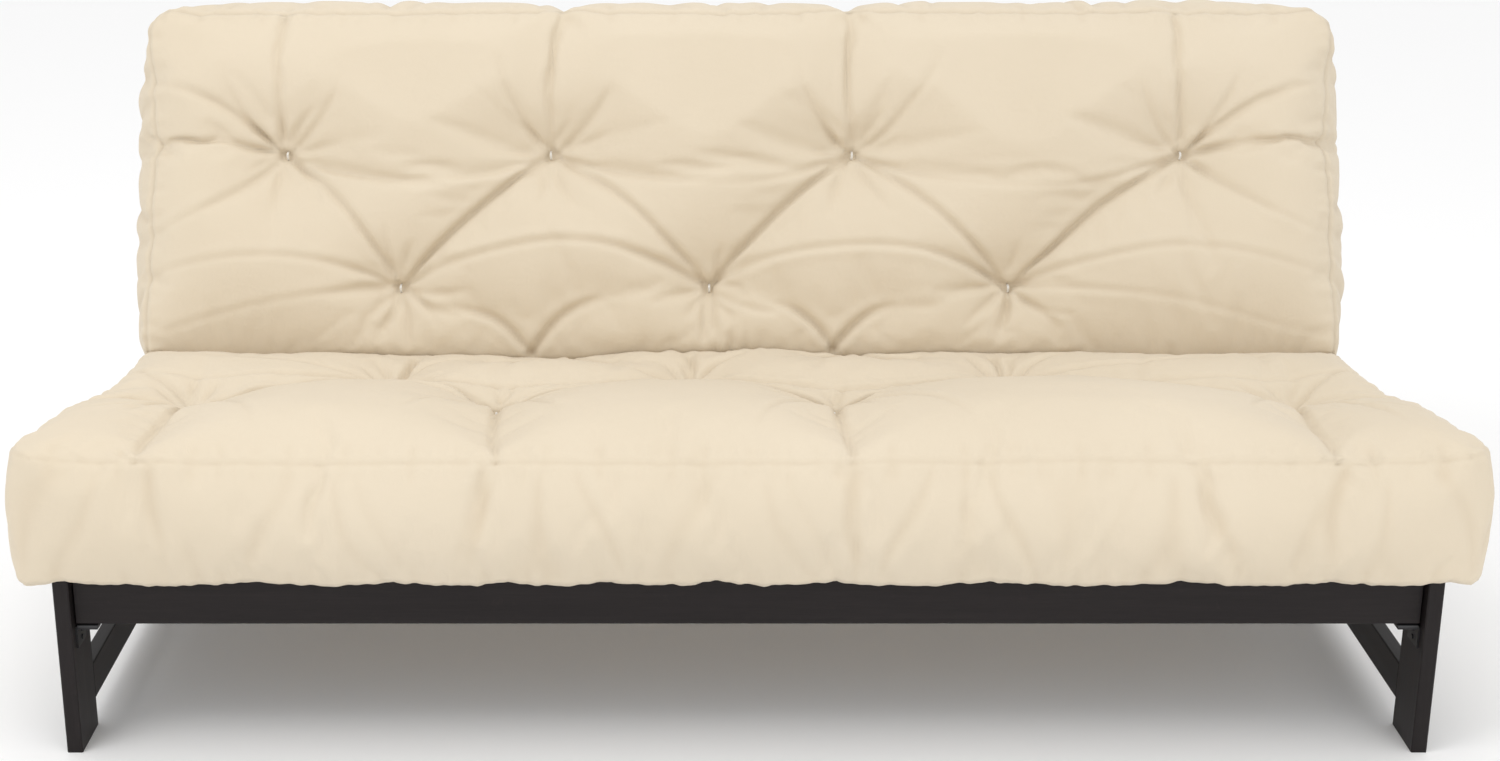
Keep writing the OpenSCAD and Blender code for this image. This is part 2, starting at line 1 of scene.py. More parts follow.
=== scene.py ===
"""Looks of an armless bifold futon sofa bed: a tufted cotton mattress on an espresso wooden frame.

Left is -X and the front is -Y. Lengths are in metres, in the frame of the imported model.
"""
import json
import math

import bpy
import numpy as np
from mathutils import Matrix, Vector


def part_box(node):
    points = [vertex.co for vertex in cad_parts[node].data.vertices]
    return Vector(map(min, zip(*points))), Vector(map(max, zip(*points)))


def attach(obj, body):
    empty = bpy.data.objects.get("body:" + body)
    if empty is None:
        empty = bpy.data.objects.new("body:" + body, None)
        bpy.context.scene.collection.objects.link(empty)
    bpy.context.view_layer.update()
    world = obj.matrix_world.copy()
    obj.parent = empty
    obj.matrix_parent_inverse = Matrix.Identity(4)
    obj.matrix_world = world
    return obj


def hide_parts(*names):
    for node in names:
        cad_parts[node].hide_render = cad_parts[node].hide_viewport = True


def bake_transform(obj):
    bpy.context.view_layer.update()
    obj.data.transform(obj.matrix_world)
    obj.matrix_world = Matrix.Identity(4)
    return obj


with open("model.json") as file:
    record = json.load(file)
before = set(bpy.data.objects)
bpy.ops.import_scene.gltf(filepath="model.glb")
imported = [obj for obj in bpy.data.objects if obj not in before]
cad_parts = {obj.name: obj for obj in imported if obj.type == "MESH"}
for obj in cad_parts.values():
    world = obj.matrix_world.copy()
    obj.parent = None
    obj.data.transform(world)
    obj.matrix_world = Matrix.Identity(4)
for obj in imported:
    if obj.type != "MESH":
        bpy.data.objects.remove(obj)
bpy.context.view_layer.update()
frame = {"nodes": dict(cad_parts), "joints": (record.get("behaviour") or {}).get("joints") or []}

# ---------- what the frame gives ----------

FRONT_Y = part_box("front_leg_left")[0].y      # front faces of the front legs
FRAME_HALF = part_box("front_leg_right")[1].x  # half the width over the front legs
DECK_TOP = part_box("seat_slats")[1].z
JOINTS = {joint["name"]: joint for joint in frame["joints"]}
HINGE = Vector(JOINTS["back_recline"]["pos_m"])
BACK_ANGLE = math.radians(JOINTS["back_recline"]["range_deg"][1])
HALF_FOLD = BACK_ANGLE / 2
HINGE_DROP = DECK_TOP - HINGE.z              # hinge axis below the decks' top
SEAT_LOW, SEAT_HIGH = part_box("seat_mattress_cover")
BACK_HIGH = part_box("back_mattress_cover")[1]
SEAT_LEN = HINGE.y - SEAT_LOW.y              # hinge axis to the mattress's front
LEG_FRONT_U = HINGE.y - FRONT_Y              # and to the front of the legs
FOLD_IN = math.sin(HALF_FOLD)
FOLD_UP = math.cos(HALF_FOLD)


def back_length():
    """Hinge axis to the free edge of the mattress's back half, measured along the back."""
    along = Vector((0, math.cos(BACK_ANGLE), math.sin(BACK_ANGLE)))
    mesh = frame["nodes"]["back_mattress_cover"].data
    return max((v.co - HINGE).dot(along) for v in mesh.vertices)


BACK_LEN = back_length()


def islands(node):
    """Centres of a CAD node's separate solids."""
    mesh = frame["nodes"][node].data
    parent = list(range(len(mesh.vertices)))

    def root(i):
        while parent[i] != i:
            parent[i] = parent[parent[i]]
            i = parent[i]
        return i

    places = {}
    for v in mesh.vertices:                  # vertices that share a place are one
        key = tuple(round(c, 5) for c in v.co)
        parent[root(v.index)] = root(places.setdefault(key, v.index))
    for edge in mesh.edges:
        a, b = edge.vertices
        parent[root(a)] = root(b)
    groups = {}
    for v in mesh.vertices:
        groups.setdefault(root(v.index), []).append(v.co)
    return [sum(g, Vector()) / len(g) for g in groups.values()]


# ---------- camera, floor and light ----------

CAMERA_OFFSET = Vector((-0.083, -2.754, 1.438))  # from the middle of the front legs' front faces
CAMERA_PITCH = math.radians(18.27)               # downwards
CAMERA_LENS = 54.53
CAMERA_SHIFT = 0.043
FLOOR_SIZE = 60


def make_camera():
    data = bpy.data.cameras.new("camera")
    data.lens = CAMERA_LENS
    data.sensor_width = 36
    data.shift_x = CAMERA_SHIFT
    data.clip_end = FLOOR_SIZE
    camera = bpy.data.objects.new("camera", data)
    camera.location = CAMERA_OFFSET + Vector((0, FRONT_Y, 0))
    camera.rotation_euler = (math.pi / 2 - CAMERA_PITCH, 0, 0)
    bpy.context.scene.collection.objects.link(camera)
    bpy.context.scene.camera = camera


def area_light(name, place, size, power, target):
    data = bpy.data.lights.new(name, "AREA")
    data.shape = "RECTANGLE"
    data.size, data.size_y = size
    data.energy = power
    light = bpy.data.objects.new(name, data)
    light.location = place
    light.rotation_euler = (Vector(target) - Vector(place)).to_track_quat("-Z", "Y").to_euler()
    bpy.context.scene.collection.objects.link(light)


def make_stage():
    bpy.ops.mesh.primitive_plane_add(size=FLOOR_SIZE, location=(0, 0, 0))
    floor = bpy.context.object
    floor.name = "floor"
    floor.data.materials.append(plain("floor_paper", (0.97, 0.97, 0.97), 0.9))
    world = bpy.data.worlds.new("studio")
    world.use_nodes = True
    world.node_tree.nodes["Background"].inputs["Color"].default_value = (1, 1, 1, 1)
    world.node_tree.nodes["Background"].inputs["Strength"].default_value = 0.96
    bpy.context.scene.world = world
    middle = (0, 0, 0.4)
    area_light("key", (-1.9, -1.6, 3.3), (1.6, 1.6), 30, middle)
    area_light("fill", (1.6, -3.4, 1.5), (2.2, 2.2), 18, middle)
    area_light("top", (0.4, 0.4, 3.6), (3.4, 1.6), 10, middle)
    bpy.context.scene.view_settings.view_transform = "Standard"


# ---------- materials ----------

def tree_of(name):
    material = bpy.data.materials.new(name)
    material.use_nodes = True
    return material, material.node_tree, material.node_tree.nodes["Principled BSDF"]


def plain(name, colour, roughness):
    material, _, shader = tree_of(name)
    shader.inputs["Base Color"].default_value = (*colour, 1)
    shader.inputs["Roughness"].default_value = roughness
    return material


def node(tree, kind, **values):
    made = tree.nodes.new(kind)
    for key, value in values.items():
        socket = key.replace("_", " ")
        if socket in made.inputs:
            made.inputs[socket].default_value = value
        else:
            setattr(made, key, value)
    return made


def coordinates(tree, scale=(1, 1, 1), rotation=(0, 0, 0)):
    """The piece's own coordinates, in metres, stretched and turned."""
    where = node(tree, "ShaderNodeTexCoord")
    mapping = node(tree, "ShaderNodeMapping", Scale=scale, Rotation=rotation)
    tree.links.new(where.outputs["Object"], mapping.inputs["Vector"])
    return mapping.outputs["Vector"]


def noise(tree, vector, scale, detail=3.0, roughness=0.5):
    made = node(tree, "ShaderNodeTexNoise", Scale=scale, Detail=detail, Roughness=roughness)
    tree.links.new(vector, made.inputs["Vector"])
    return made.outputs["Fac"]


def ramp(tree, factor, stops):
    """A colour ramp: stops are (place, colour)."""
    made = node(tree, "ShaderNodeValToRGB")
    band = made.color_ramp
    while len(band.elements) < len(stops):
        band.elements.new(0.5)
    for element, (place, colour) in zip(band.elements, stops):
        element.position = place
        element.color = (*colour, 1)
    tree.links.new(factor, made.inputs["Fac"])
    return made.outputs["Color"]


def mix(tree, factor, a, b, blend="MIX"):
    made = node(tree, "ShaderNodeMix", data_type="RGBA", blend_type=blend)
    for socket, value in ((made.inputs[0], factor), (made.inputs[6], a), (made.inputs[7], b)):
        if isinstance(value, (int, float)):
            socket.default_value = value
        elif isinstance(value, tuple):
            socket.default_value = (*value, 1)
        else:
            tree.links.new(value, socket)
    return made.outputs[2]


def spread(tree, factor, low, high):
    """A factor from 0 to 1 as a value from low to high."""
    made = node(tree, "ShaderNodeMapRange")
    made.inputs["To Min"].default_value = low
    made.inputs["To Max"].default_value = high
    tree.links.new(factor, made.inputs["Value"])
    return made.outputs["Result"]


def bump(tree, height, distance, strength=1.0, under=None):
    made = node(tree, "ShaderNodeBump", Strength=strength, Distance=distance)
    tree.links.new(height, made.inputs["Height"])
    if under is not None:
        tree.links.new(under, made.inputs["Normal"])
    return made.outputs["Normal"]


def wave(tree, vector, scale, distortion=0.0):
    made = node(tree, "ShaderNodeTexWave", Scale=scale, Distortion=distortion)
    tree.links.new(vector, made.inputs["Vector"])
    return made.outputs["Fac"]


TWILL_LIGHT = (0.720, 0.630, 0.496)
TWILL_DARK = (0.690, 0.600, 0.466)
TWILL_SLUB = (0.62, 0.51, 0.35)
TWILL_CREASE_SHADE = (0.50, 0.385, 0.25)             # painted shade at the bottom of a crease, standing for what little light reaches there
# painted shade between the weave's threads and a painted glint on their tops
TWILL_THREAD_SHADE_AND_GLINT = ((0.2, (0.55, 0.48, 0.37)), (0.8, (1, 0.95, 0.85)))


def twill():
    """Unbleached cotton twill: a fine diagonal weave with slubs, and soft creases."""
    material, tree, shader = tree_of("cotton_twill")
    link = tree.links.new
    place = coordinates(tree)
    broad = noise(tree, place, 3.0)
    tone = ramp(tree, broad, ((0.3, TWILL_DARK), (0.7, TWILL_LIGHT)))
    weave = wave(tree, coordinates(tree, rotation=(0.5, 0.75, 0.65)), 420, 0.8)
    slub = noise(tree, coordinates(tree, scale=(1, 6, 6)), 260, 2.0)
    # painted shade and glint of the weave's threads, multiplied faintly into the cloth's tone
    tone = mix(tree, 0.06, tone, ramp(tree, weave, TWILL_THREAD_SHADE_AND_GLINT), "MULTIPLY")
    tone = mix(tree, spread(tree, slub, 0.0, 0.10), tone, TWILL_SLUB)
    # painted shade: the cloth darkens towards the bottom of each fine crease, by the mesh's fold
    # attribute
    fold = node(tree, "ShaderNodeAttribute", attribute_name="fold")
    tone = mix(tree, spread(tree, fold.outputs["Fac"], 0.0, 0.34), tone, TWILL_CREASE_SHADE)
    link(tone, shader.inputs["Base Color"])
    shader.inputs["Roughness"].default_value = 0.92
    shader.inputs["Specular IOR Level"].default_value = 0.2
    shader.inputs["Sheen Weight"].default_value = 0.18
    shader.inputs["Sheen Roughness"].default_value = 0.45
    crumple = bump(tree, noise(tree, place, 22, 5.0, 0.6), 0.0045, 0.34)
    fine = bump(tree, noise(tree, place, 90, 3.0), 0.0008, 0.35, crumple)
    link(bump(tree, weave, 0.00025, 0.5, fine), shader.inputs["Normal"])
    return material


ESPRESSO = ((0.007, 0.005, 0.005), (0.013, 0.010, 0.010), (0.019, 0.015, 0.015))
ESPRESSO_WORN = (0.040, 0.030, 0.026)
PINE = ((0.46, 0.30, 0.15), (0.66, 0.48, 0.28), (0.78, 0.62, 0.41))
BEECH = ((0.50, 0.36, 0.22), (0.62, 0.47, 0.31), (0.70, 0.56, 0.39))
GRAIN_ACROSS = 26.0                          # scale of the grain's pattern across a board
GRAIN_ALONG = 1.3                            # and along it


def timber(name, axis, colours, roughness, wear=None):
    """A board whose grain runs along axis 0, 1 or 2. colours are (pores, heart, sap)."""
    material, tree, shader = tree_of(name)
    link = tree.links.new
    stretch = [GRAIN_ACROSS] * 3
    stretch[axis] = GRAIN_ALONG
    along = coordinates(tree, scale=tuple(stretch))
    figure = noise(tree, along, 1.6, 6.0, 0.62)
    pores = noise(tree, along, 14.0, 3.0, 0.7)
    dark, heart, sap = colours
    tone = ramp(tree, figure, ((0.32, heart), (0.68, sap)))
    tone = mix(tree, spread(tree, pores, -0.25, 0.75), tone, dark)
    if wear is not None:
        scuffs = ramp(tree, noise(tree, coordinates(tree), 38, 5.0, 0.75),
                      ((0.62, (0, 0, 0)), (0.74, (1, 1, 1))))
        tone = mix(tree, spread(tree, scuffs, 0.0, 0.22), tone, wear)
    link(tone, shader.inputs["Base Color"])
    link(spread(tree, figure, roughness - 0.07, roughness + 0.09), shader.inputs["Roughness"])
    soft = bump(tree, figure, 0.0006, 0.35)
    link(bump(tree, pores, 0.0003, 0.4, soft), shader.inputs["Normal"])
    return material, shader


def espresso(name, axis):
    material, shader = timber(name, axis, ESPRESSO, 0.48, wear=ESPRESSO_WORN)
    shader.inputs["Specular IOR Level"].default_value = 0.17
    shader.inputs["Coat Weight"].default_value = 0.05
    shader.inputs["Coat Roughness"].default_value = 0.30
    return material


def metal(name, colour, roughness, metallic=1.0):
    material, tree, shader = tree_of(name)
    place = coordinates(tree)
    spots = noise(tree, place, 140, 4.0, 0.6)
    darker = tuple(c * 0.72 for c in colour)
    tree.links.new(ramp(tree, spots, ((0.35, darker), (0.65, colour))), shader.inputs["Base Color"])
    tree.links.new(spread(tree, spots, roughness - 0.08, roughness + 0.12), shader.inputs["Roughness"])
    tree.links.new(bump(tree, noise(tree, place, 900, 2.0), 0.0001, 0.3), shader.inputs["Normal"])
    shader.inputs["Metallic"].default_value = metallic
    return material


def moulded(name, colour, roughness):
    material, tree, shader = tree_of(name)
    place = coordinates(tree)
    cloud = noise(tree, place, 60, 3.0)
    darker = tuple(c * 0.9 for c in colour)
    tree.links.new(ramp(tree, cloud, ((0.3, darker), (0.7, colour))), shader.inputs["Base Color"])
    tree.links.new(spread(tree, cloud, roughness - 0.05, roughness + 0.08), shader.inputs["Roughness"])
    tree.links.new(bump(tree, noise(tree, place, 1400, 2.0), 0.0001, 0.4), shader.inputs["Normal"])
    return material


def twine():
    material, tree, shader = tree_of("waxed_twine")
    strands = wave(tree, coordinates(tree, rotation=(0.6, 0.3, 0)), 900, 1.0)
    tree.links.new(ramp(tree, strands, ((0.2, (0.90, 0.88, 0.82)), (0.8, (0.99, 0.98, 0.95)))),
                   shader.inputs["Base Color"])
    tree.links.new(bump(tree, strands, 0.0003, 0.7), shader.inputs["Normal"])
    shader.inputs["Roughness"].default_value = 0.6
    return material


def paint(material, *names):
    for name in names:
        mesh = frame["nodes"][name].data
        mesh.materials.clear()
        mesh.materials.append(material)


def dress_frame():
    sides = ("left", "right")
    along_x = espresso("espresso_wood_x", 0)
    along_y = espresso("espresso_wood_y", 1)
    along_z = espresso("espresso_wood_z", 2)
    paint(along_x, "front_cross_rail", "rear_cross_rail", "seat_front_rail", "seat_slat_ledger",
          "seat_mid_rail", "seat_rear_rail", "back_top_rail", "back_mid_rail", "back_bottom_rail")
    paint(along_y, *[f"{part}_{side}" for part in ("low_stretcher", "track_rail", "seat_side_rail")
                     for side in sides])
    paint(along_z, *[f"{part}_{side}" for part in ("front_leg", "rear_leg", "back_side_rail")
                     for side in sides])
    paint(timber("pine_slats", 1, PINE, 0.6)[0], "seat_slats")
    paint(timber("pine_back_slats", 2, PINE, 0.6)[0], "back_slats")
    paint(timber("beech_dowels", 1, BEECH, 0.6)[0], "frame_dowels", "front_rail_dowels")
    paint(metal("zinc_plate", (0.62, 0.63, 0.65), 0.34), "barrel_nuts",
          "seat_slat_screws", "seat_rail_screws", "seat_hinge_plates", "seat_plate_screws",
          "hinge_bolts", "back_slat_screws", "back_rail_screws", "back_hinge_plates",
          "back_plate_screws", "guide_pins")
    paint(metal("black_oxide", (0.035, 0.034, 0.036), 0.42, 0.7), "cross_rail_bolts",
          "glide_brackets", "bracket_screws", "hinge_retainers", "guide_retainers")
    paint(moulded("black_nylon", (0.030, 0.030, 0.032), 0.5), "glide_pads")
    paint(moulded("nylon", (0.80, 0.80, 0.76), 0.42), "hinge_washers",
          *[f"{part}_roller_{side}" for part in ("hinge", "guide") for side in sides])
    paint(moulded("rubber", (0.035, 0.035, 0.035), 0.8), "rest_pads")


# ---------- mattress: where things are ----------
# A half's own coordinates are x across, u along its deck from the hinge axis, and h up from the
# axis, square to the deck. side is 0 on the seat and 1 on the back, which mirror each other in
# the plane that halves the fold. There, p is the distance from that plane and q runs along it.

def to_world(side, x, u, h):
    """Points in a half's own coordinates, as an array of places."""
    x, u, h = np.broadcast_arrays(x, u, h)
    back = np.asarray(side) > 0
    c, s = math.cos(BACK_ANGLE), math.sin(BACK_ANGLE)
    y = np.where(back, u * c - h * s, -u)
    z = np.where(back, u * s + h * c, h)
    return np.stack([x, HINGE.y + y, HINGE.z + z], axis=-1)


def from_world(side, points):
    """x, u and h of places."""
    back = np.asarray(side) > 0
    c, s = math.cos(BACK_ANGLE), math.sin(BACK_ANGLE)
    y, z = points[..., 1] - HINGE.y, points[..., 2] - HINGE.z
    return points[..., 0], np.where(back, y * c + z * s, -y), np.where(back, z * c - y * s, z)


def fold_uh(p, q):
    """Own coordinates of a point at distance p from the fold's plane and q along it."""
    return p * FOLD_UP + q * FOLD_IN, q * FOLD_UP - p * FOLD_IN


def fold_pq(u, h):
    """Distance of a point from the fold's plane, and its place along it."""
    return u * FOLD_UP - h * FOLD_IN, u * FOLD_IN + h * FOLD_UP


STEP = 0.0096         # spacing of the mattress's mesh before it is subdivided
GUSSET = 0.175                            # height of the boxed border between its two seams
EDGE_TUCK = 0.014                         # the border swells by this much
SIDE_TUCK = 0.012                         # and the back's sides by this much
FRONT_SPREAD = 0.009                      # the seat's front spreads this far past the CAD's width
BACK_SPARE = 0.009                        # the back's free edge swells less, so it starts further out
LENGTHS = np.array([SEAT_LEN, BACK_LEN + BACK_SPARE])
NARROW = BACK_HIGH.x - SIDE_TUCK          # half the width between the seams, at the back
WIDE = SEAT_HIGH.x + FRONT_SPREAD         # and at the seat's front
SPREAD_START = 0.42                       # the seat starts to widen this far behind its front
SPREAD_RUN = 0.38                         # and is at its widest after this
CORNER = 0.018                            # rounding of the border, seen from above
TOP_CORNER = 0.045                        # the same at the upper seam
CORNER_FILL = 0.96                        # below 1, so that the rounding ends short of a right angle
TOP_TUCK = 0.007                          # the upper seam is drawn in at the seat's wide end
LOW_TUCK = 0.010                          # and so is the lower seam
CREASE_BOTTOM = 0.190                     # q of the bottom of the crease
CREASE_MOUTH = 0.212                      # q where the two halves start to part
MOUTH_GAP = 0.002
LIPS = ((0.050, 0.008), (0.018, 0.012))   # how steeply each half leaves the crease
ROLLS = (0.46, 0.33)                      # u where the seat's and the back's panels are level again
ROLL_RUN = 0.13                           # length of the roll's last bend
ROLL_DIP = 0.008                          # and its drop
FAR_OFF = 9.0                             # stands for a distance that doesn't count


def smooth_step(t):
    """Eases from 0 to 1 as t does."""
    t = np.clip(t, 0, 1)
    return t * t * (3 - 2 * t)


def bell(distance, width):
    """1 at no distance, falling off over width on either side."""
    return np.exp(-((distance / width) ** 2))


def half_width(side, u, rise=1.0):
    """Half the mattress's width at rise 0, the lower seam, to 1, the upper. It spreads towards the
    seat's front."""
    ease = smooth_step((u - (SEAT_LEN - SPREAD_START)) / SPREAD_RUN)
    wide = WIDE - TOP_TUCK * rise ** 3 - LOW_TUCK * (1 - rise) ** 3
    straight = NARROW + np.where(np.asarray(side) > 0, 0.0, 1.0) * ease * (wide - NARROW)
    corner = CORNER + (TOP_CORNER - CORNER) * rise ** 3
    round_off = np.clip((u - LENGTHS[side] + EDGE_TUCK + corner) / corner, 0, 1)
    return straight - corner * (1 - np.sqrt(1 - CORNER_FILL * round_off ** 2))


def bezier(a, b, c, d, t):
    """Points of a cubic curve at each t."""
    t = t[:, None]
    return a * (1 - t) ** 3 + 3 * b * t * (1 - t) ** 2 + 3 * c * t * t * (1 - t) + d * t ** 3


def resample(path, count):
    """count + 1 points evenly spaced along a polyline."""
    legs = np.linalg.norm(np.diff(path, axis=0), axis=1)
    run = np.concatenate([[0], np.cumsum(legs)])
    at = np.linspace(0, run[-1], count + 1)
    return np.stack([np.interp(at, run, path[:, i]) for i in range(2)], axis=1)


def top_path(side, count):
    """(u, h) of the upper panel from the bottom of the crease to the free edge's seam."""
    level = HINGE_DROP + GUSSET
    wall = np.array([fold_uh(0.0, CREASE_BOTTOM), fold_uh(MOUTH_GAP, CREASE_MOUTH)])
    bend = np.array([ROLLS[side] - ROLL_RUN, level - ROLL_DIP])
    roll = bezier(wall[1], wall[1] + LIPS[side], bend, np.array([ROLLS[side], level]),
                  np.linspace(0, 1, 16))
    return resample(np.vstack([wall[:1], roll, [[LENGTHS[side] - EDGE_TUCK, level]]]), count)


def under_path(length, count):
    """(u, h) of the lower panel from the fold to the free edge's seam."""
    start = np.array([HINGE_DROP * math.tan(HALF_FOLD), HINGE_DROP])
    return resample(np.array([start, [length - EDGE_TUCK, HINGE_DROP]]), count)


def lattice():
    """The mattress as the skin of a box of cells. Gives the cells' counts, each vertex's place in
    the box (i across, j along from the seat's front to the back's top, k up from the deck), its
    side, its own coordinates, and the faces."""
    across = 2 * round(BACK_HIGH.x / STEP)
    half = round(SEAT_LEN / STEP)
    up = round(GUSSET / STEP)
    tops, unders, sides = [], [], []
    for side, length in enumerate(LENGTHS):
        top, under = top_path(side, half), under_path(length, half)
        order = slice(None, None, -1) if side == 0 else slice(1, None)
        tops.append(top[order])
        unders.append(under[order])
        sides.append(np.full(len(top[order]), side))
    top, under, side = np.vstack(tops), np.vstack(unders), np.concatenate(sides)
    along = len(top) - 1
    index = np.full((across + 1, along + 1, up + 1), -1)
    shell = np.zeros(index.shape, bool)
    for axis in range(3):
        for end in (0, -1):
            cut = [slice(None)] * 3
            cut[axis] = end
            shell[tuple(cut)] = True
    index[shell] = np.arange(shell.sum())
    ijk = np.argwhere(shell)
    i, j, k = ijk.T
    rise = k / up
    u = under[j, 0] * (1 - rise) + top[j, 0] * rise
    h = under[j, 1] * (1 - rise) + top[j, 1] * rise
    x = (2 * i / across - 1) * half_width(side[j], u, rise)
    faces = []
    for axis in range(3):
        for end in (0, -1):
            sheet = np.take(index, end, axis=axis)
            a, b = sheet[:-1, :-1].ravel(), sheet[1:, :-1].ravel()
            c, d = sheet[1:, 1:].ravel(), sheet[:-1, 1:].ravel()
            outward = (end == -1) == (axis != 1)
            quads = np.stack([a, b, c, d] if outward else [a, d, c, b], axis=1)
            faces.append(quads)
    shape = (across, along, up)
    return ijk, shape, side[j], x, u, h, np.vstack(faces)


def tuft_points():
    """(side, x, u) of every tuft, from the CAD's tufting twine."""
    points = []
    for side, name in ((0, "seat_tufts"), (1, "back_tufts")):
        for centre in islands(name):
            x, u, _ = from_world(side, np.array(centre))
            points.append((side, float(x), float(u)))
    return points


# ---------- mattress: its creases ----------
# A crease runs over one half's upper panel, from one place (x, u) to another. Its depths at its
# start, middle and end are shares of the full depth. bow is its rise over its length.

FIRM_LINK = (1.0, 0.8, 1.0)       # depths of the creases between tufts
SOFT_LINK = (1.0, 0.42, 0.9)
INNER_LINK = (0.6, 0.5, 1.0)
OUTER_LINK = (0.7, 0.16, 0.7)
FOLD_RUN = (1.0, 0.6, 0.4)        # and of those from a tuft to the fold between the halves
FOLD_BRANCH = (0.8, 0.3, 0.2)
FOLD_VALLEY = (0.9, 0.8, 0.0)
EDGE_RUN = (0.9, 0.45, 0.35)      # from a tuft towards the free edge
EDGE_BRANCH = (0.9, 0.35, 0.0)
SPOKE = (0.55, 0.38, 0.0)
# creases from the end tufts to the side edge: which row, how far along u they go, depths and bow
SIDE_RUNS = (("outer", 0.02, (1.0, 0.5, 0.18), 0.04),
             ("outer", 0.12, (0.9, 0.3, 0.08), 0.08),
             ("outer", -0.13, (0.8, 0.3, 0.10), -0.06),
             ("inner", 0.01, (0.9, 0.3, 0.15), 0.10),
             ("inner", -0.08, (0.7, 0.2, 0.08), 0.04))
SPOKES = 9                        # short creases round each tuft
FIRMNESS = (1.2, 1.0)             # how deep the seat's and the back's creases are
HELD_DEPTH = 0.5                  # a crease whose middle is deeper is held in the simulation
FOLD_START = 0.115                # u where the fold's own valleys start
WANDER = 0.012                    # how far a crease strays from its curve, as a share of its length
FULL_TURN = 6.28


class Crease:
    def __init__(self, side, start, end, depths, bow, dice):
        a, b = np.array(start, float), np.array(end, float)
        t = np.linspace(0, 1, 15)
        reach = np.linalg.norm(b - a)
        left = np.array([a[1] - b[1], b[0] - a[0]]) / reach
        wander, turn = dice.uniform(-WANDER, WANDER), dice.uniform(0, FULL_TURN)
        swing = 4 * bow * t * (1 - t) + wander * np.sin(7 * t + turn) * np.sin(math.pi * t)
        self.side = side
        self.curve = a + np.outer(t, b - a) + np.outer(swing * reach, left)
        self.depths = depths
        self.lean = dice.choice((-1.0, 1.0))
        self.held = depths[1] > HELD_DEPTH

    def depth(self, t):
        """Share of the full depth at t along the crease."""
        start, middle, end = self.depths
        ends = np.where(t < 0.5, start, end)
        return middle + (ends - middle) * np.abs(2 * t - 1) ** 1.7

    def measure(self, x, u):
        """Distance from the crease, signed by its side, and how far along it the nearest place is."""
        best, at, hand = np.full(len(x), FAR_OFF), np.zeros(len(x)), np.ones(len(x))
        legs = len(self.curve) - 1
        for i in range(legs):
            a, d = self.curve[i], self.curve[i + 1] - self.curve[i]
            t = np.clip(((x - a[0]) * d[0] + (u - a[1]) * d[1]) / (d @ d), 0, 1)
            dx, du = x - a[0] - t * d[0], u - a[1] - t * d[1]
            far = np.hypot(dx, du)
            closer = far < best
            best = np.where(closer, far, best)
            at = np.where(closer, (i + t) / legs, at)
            hand = np.where(closer, np.sign(d[0] * du - d[1] * dx + 1e-12), hand)
        return best * hand, at


def creases(tufts):
    """Every crease of the two upper panels: links between tufts, folds from a tuft to an edge, and
    short spokes round each tuft."""
    dice = np.random.default_rng(11)
    made = []
    for side, length in enumerate(LENGTHS):
        own = [(x, u) for s, x, u in tufts if s == side]
        split = sum(u for _, u in own) / len(own)
        outer = sorted(t for t in own if t[1] > split)
        inner = sorted(t for t in own if t[1] < split)
        free = length - EDGE_TUCK
        firm = FIRMNESS[side]

        def add(start, end, depths, bow=0.0):
            made.append(Crease(side, start, end, [d * firm for d in depths], bow, dice))

        for n, tuft in enumerate(inner):
            left = max(t for t in outer if t[0] < tuft[0])
            right = min(t for t in outer if t[0] > tuft[0])
            add(tuft, right, FIRM_LINK, 0.03)
            add(tuft, left, SOFT_LINK, -0.05)
            add(tuft, (tuft[0] + dice.uniform(-0.03, 0.03), 0.15), FOLD_RUN, 0.04)
            add(tuft, (tuft[0] + dice.uniform(0.07, 0.12), 0.17), FOLD_BRANCH, -0.1)
            if n:
                before = inner[n - 1]
                add(before, tuft, INNER_LINK, 0.14)
                middle = 0.5 * (before[0] + tuft[0]) + dice.uniform(-0.05, 0.05)
                for way in (-1, 1):
                    reach = dice.uniform(0.08, 0.14)
                    rise = reach * dice.uniform(0.3, 0.75)
                    add((middle, FOLD_START), (middle + way * reach, FOLD_START + rise),
                        FOLD_VALLEY, 0.14 * way)
        for before, after in zip(outer, outer[1:]):
            add(before, after, OUTER_LINK, -0.10)
        for tuft in outer:
            add(tuft, (tuft[0] + dice.uniform(-0.02, 0.02), free), EDGE_RUN, 0.02)
            for way in (-1, 1):
                reach = dice.uniform(0.45, 0.85) * (free - tuft[1])
                add(tuft, (tuft[0] + way * reach * dice.uniform(0.5, 0.9), tuft[1] + reach),
                    EDGE_BRANCH, -0.08 * way)
        for way in (-1, 1):
            last = 0 if way < 0 else -1
            ends = {"inner": inner[last], "outer": outer[last]}
            edge = way * float(half_width(side, ends["outer"][1]))
            for row, climb, depths, bow in SIDE_RUNS:
                add(ends[row], (edge, ends[row][1] + climb), depths, bow * way)
        for x, u in own:
            turn = dice.uniform(0, FULL_TURN)
            for n in range(SPOKES):
                angle = turn + (n + dice.uniform(-0.3, 0.3)) * 2 * math.pi / SPOKES
                reach = dice.uniform(0.045, 0.115)
                add((x, u), (x + reach * math.cos(angle), u + reach * math.sin(angle)),
                    SPOKE, dice.uniform(-0.1, 0.1))
    return made


# ---------- mattress: its shape ----------

DIMPLE = (0.029, 0.026)   # depth of a tuft under the upper seams' level, on the seat and back
DIMPLE_REACH = 0.10
UNDER_DIMPLE = 0.012      # and from below
UNDER_REACH = 0.035
BEGUN_DEPTH = 0.010       # creases at the start of the simulation
BEGUN_REACH = 0.010
HEM_SAG = 0.001           # the overhanging front edge starts this far below the deck's top
HEM_REACH = 0.012


